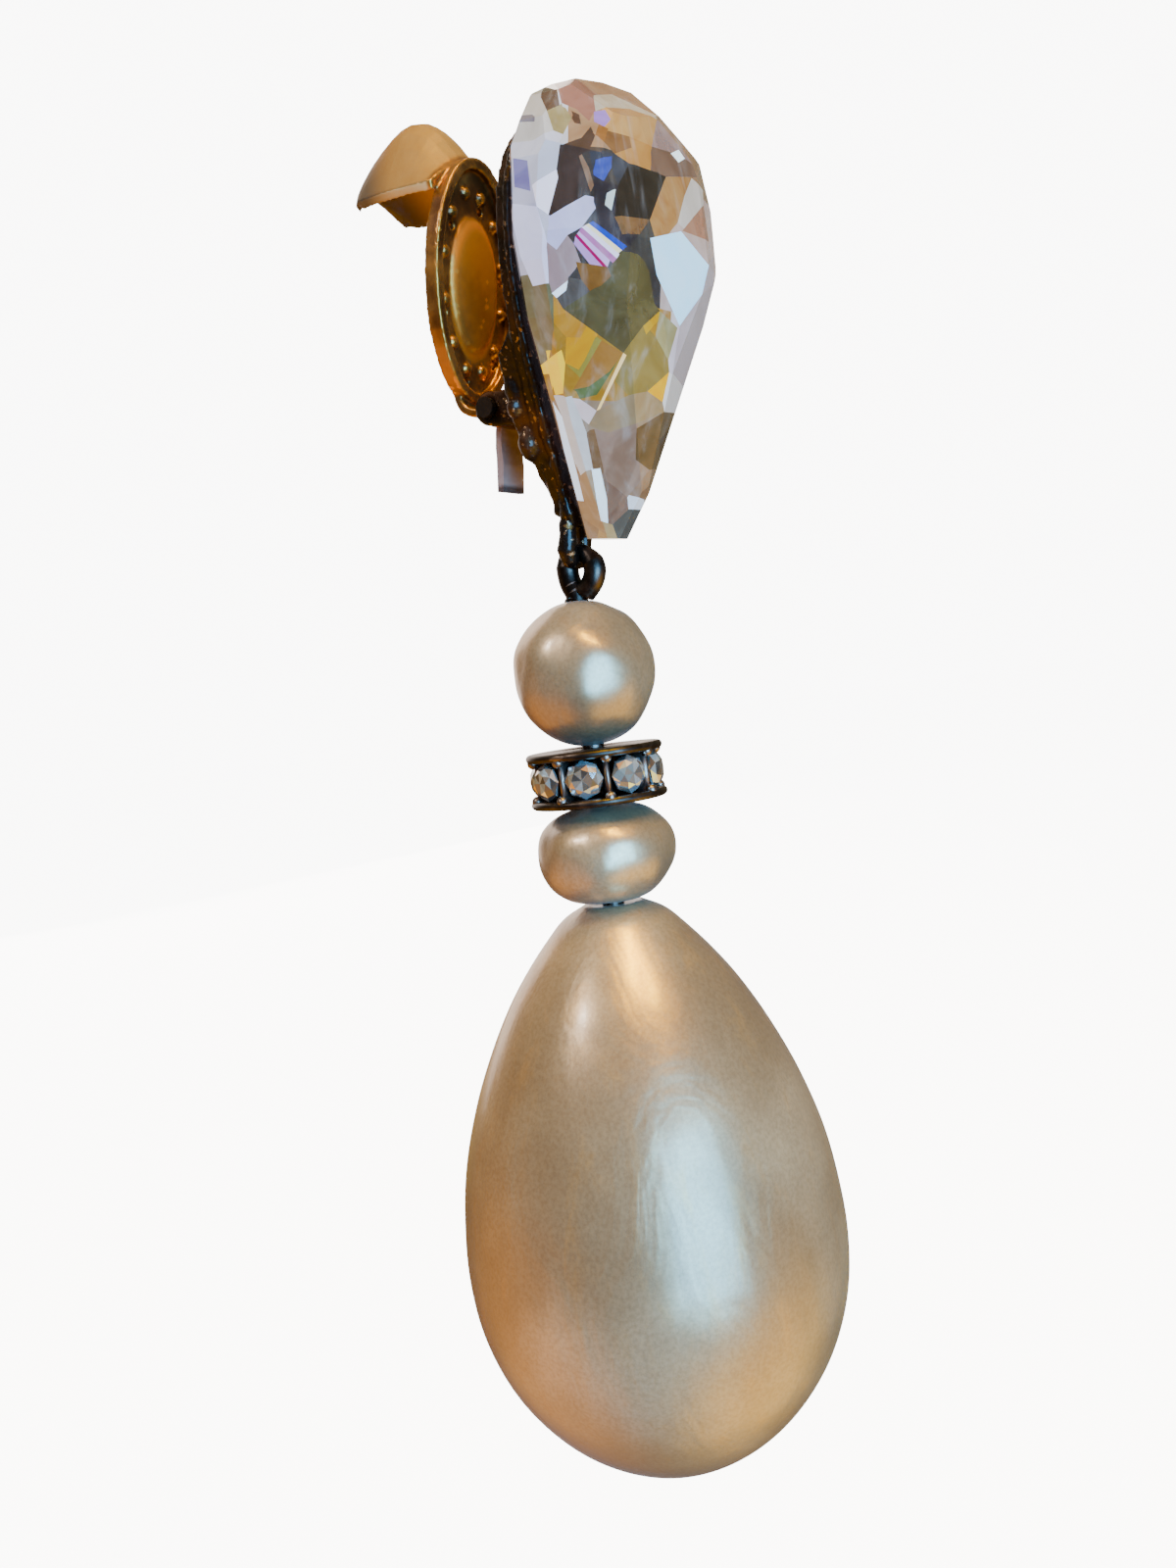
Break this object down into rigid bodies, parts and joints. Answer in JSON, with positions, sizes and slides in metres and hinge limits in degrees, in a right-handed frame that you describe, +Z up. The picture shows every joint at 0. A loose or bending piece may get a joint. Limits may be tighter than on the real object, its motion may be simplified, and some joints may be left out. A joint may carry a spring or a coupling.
{
  "type": "clip-on drop earring",
  "caption": "Clip-on earring: cut pear crystal over a hinged ear clip, with a swinging drop of pearls, a rhinestone rondelle and a large pearl.",
  "frame": {"origin": "middle of the place where the ear lobe is held, between the clip's pad and the setting", "axes": "+Z up, the crystal faces -Y and the clip's tab sweeps back to +Y, X to the sides; hangs free as when worn"},
  "size_m": [0.0282, 0.0282, 0.101],
  "materials": {
    "crystal": "polished facets",
    "rhinestone": "polished facets",
    "dark_brass": "dark, lumpy with old solder",
    "brass": "satin, tarnished",
    "pink_metal": "dull",
    "gunmetal": "dark, worn",
    "pearl": "satin pearl coating"
  },
  "bodies": {
    "front": {"stone": "crystal", "setting": "dark_brass", "hinge_pin": "dark_brass", "spring_leaf": "pink_metal"},
    "clip": {"clip_paddle": "brass"},
    "drop": {"eye_pin": "gunmetal", "pearl_upper": "pearl", "rondelle_ring": "gunmetal", "rondelle_stone_1": "rhinestone", "rondelle_stone_2": "rhinestone", "rondelle_stone_3": "rhinestone", "rondelle_stone_4": "rhinestone", "rondelle_stone_5": "rhinestone", "rondelle_stone_6": "rhinestone", "rondelle_stone_7": "rhinestone", "rondelle_stone_8": "rhinestone", "pearl_lower": "pearl", "pearl_drop": "pearl"}
  },
  "joints": [
    {"name": "clip_hinge", "type": "hinge", "parent": "front", "child": "clip", "pos_m": [0, 0.00173, -0.00965], "axis": [-1, 0, 0], "range_deg": [-18, 50]},
    {"name": "drop_swing", "type": "hinge", "parent": "front", "child": "drop", "pos_m": [0, -0.00213, -0.02109], "axis": [1, 0, 0], "range_deg": [-30, 45]}
  ]
}
